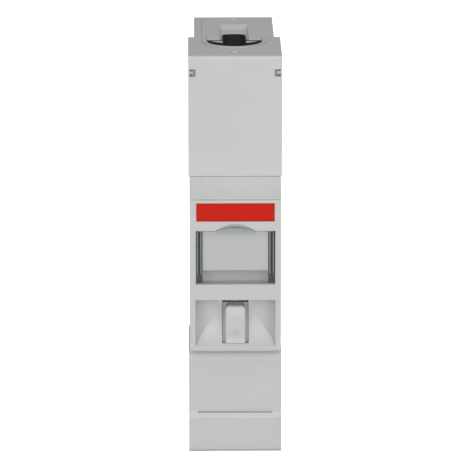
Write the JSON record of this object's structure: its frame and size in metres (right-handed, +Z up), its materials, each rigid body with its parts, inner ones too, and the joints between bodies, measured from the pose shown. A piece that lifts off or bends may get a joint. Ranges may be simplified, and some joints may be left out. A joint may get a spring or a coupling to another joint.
{
  "type": "cartridge fuse holder",
  "caption": "Narrow rail-mounted fuse holder with a pull-out carrier, hinged label window, finger latch, box-clamp terminals and removable terminal covers.",
  "frame": {"origin": "middle of the plane that rests on the rail, on the rail's centreline and at the middle of the width", "axes": "+Z up along the height, -Y towards the front, X across the width"},
  "size_m": [0.027, 0.0755, 0.1181],
  "materials": {
    "shell_plastic": "fine moulded grain, light grey",
    "black_plastic": "fine grain",
    "red_plastic": "smooth",
    "label_paper": "uncoated card",
    "clear_plastic": "clear, faint green edge",
    "zinc_steel": "zinc plated",
    "spring_steel": "bright",
    "silvered_copper": "silver plated strip",
    "nickel_brass": "nickel plated",
    "porcelain": "glazed",
    "silver_strip": "bright strip",
    "blue_enamel": "enamel"
  },
  "bodies": {
    "housing": {"housing_base": "shell_plastic", "housing_side_cover": "shell_plastic", "housing_rivets": "zinc_steel", "upper_contact": "silvered_copper", "lower_contact": "silvered_copper", "upper_pressure_spring": "spring_steel", "lower_pressure_spring": "spring_steel", "rail_latch_spring": "spring_steel", "upper_cable_guide": "black_plastic", "lower_cable_guide": "black_plastic"},
    "upper_clamp": {"upper_terminal_clamp": "zinc_steel"},
    "upper_screw": {"upper_terminal_screw": "zinc_steel"},
    "lower_clamp": {"lower_terminal_clamp": "zinc_steel"},
    "lower_screw": {"lower_terminal_screw": "zinc_steel"},
    "rail_catch": {"rail_latch": "black_plastic"},
    "upper_cover": {"upper_terminal_cover": "shell_plastic"},
    "lower_cover": {"lower_terminal_cover": "shell_plastic"},
    "carrier": {"carrier_front": "shell_plastic", "fuse_cradle": "black_plastic", "fuse_retaining_clip": "spring_steel", "badge_plate": "red_plastic", "label_card": "label_paper", "latch_spring": "spring_steel", "fuse_body": "porcelain", "fuse_head_cap": "nickel_brass", "fuse_foot_cap": "nickel_brass", "fuse_element": "silver_strip", "fuse_indicator": "blue_enamel"},
    "window": {"label_window": "clear_plastic"},
    "latch": {"latch_slider": "shell_plastic"}
  },
  "joints": [
    {"name": "carrier_slide", "type": "slide", "parent": "housing", "child": "carrier", "axis": [0, -1, 0], "range_m": [0, 0.03]},
    {"name": "latch_slide", "type": "slide", "parent": "carrier", "child": "latch", "axis": [0, 0, 1], "range_m": [0, 0.0016], "stiffness_N_per_m": 900, "springref_m": -0.001, "deforming": ["latch_spring"]},
    {"name": "window_hinge", "type": "hinge", "parent": "carrier", "child": "window", "pos_m": [0, -0.0684, -0.0005], "axis": [1, 0, 0], "range_deg": [0, 100]},
    {"name": "upper_cover_slide", "type": "slide", "parent": "housing", "child": "upper_cover", "axis": [0, -1, 0], "range_m": [0, 0.0295]},
    {"name": "lower_cover_slide", "type": "slide", "parent": "housing", "child": "lower_cover", "axis": [0, -1, 0], "range_m": [0, 0.031]},
    {"name": "upper_clamp_slide", "type": "slide", "parent": "housing", "child": "upper_clamp", "axis": [0, -1, 0], "range_m": [0, 0.0068]},
    {"name": "upper_screw_turn", "type": "hinge", "parent": "housing", "child": "upper_screw", "pos_m": [0, -0.055, 0.0475], "axis": [0, 1, 0], "range_deg": [0, 3061]},
    {"name": "lower_clamp_slide", "type": "slide", "parent": "housing", "child": "lower_clamp", "axis": [0, -1, 0], "range_m": [0, 0.0068]},
    {"name": "lower_screw_turn", "type": "hinge", "parent": "housing", "child": "lower_screw", "pos_m": [0, -0.055, -0.0389], "axis": [0, 1, 0], "range_deg": [0, 3061]},
    {"name": "rail_latch_slide", "type": "slide", "parent": "housing", "child": "rail_catch", "axis": [0, 0, -1], "range_m": [0, 0.004], "stiffness_N_per_m": 1500, "springref_m": -0.002, "deforming": ["rail_latch_spring"]}
  ],
  "couplings": [
    {"joint": "upper_screw_turn", "follows": "upper_clamp_slide", "rad_per_m": 7854},
    {"joint": "lower_screw_turn", "follows": "lower_clamp_slide", "rad_per_m": 7854}
  ]
}
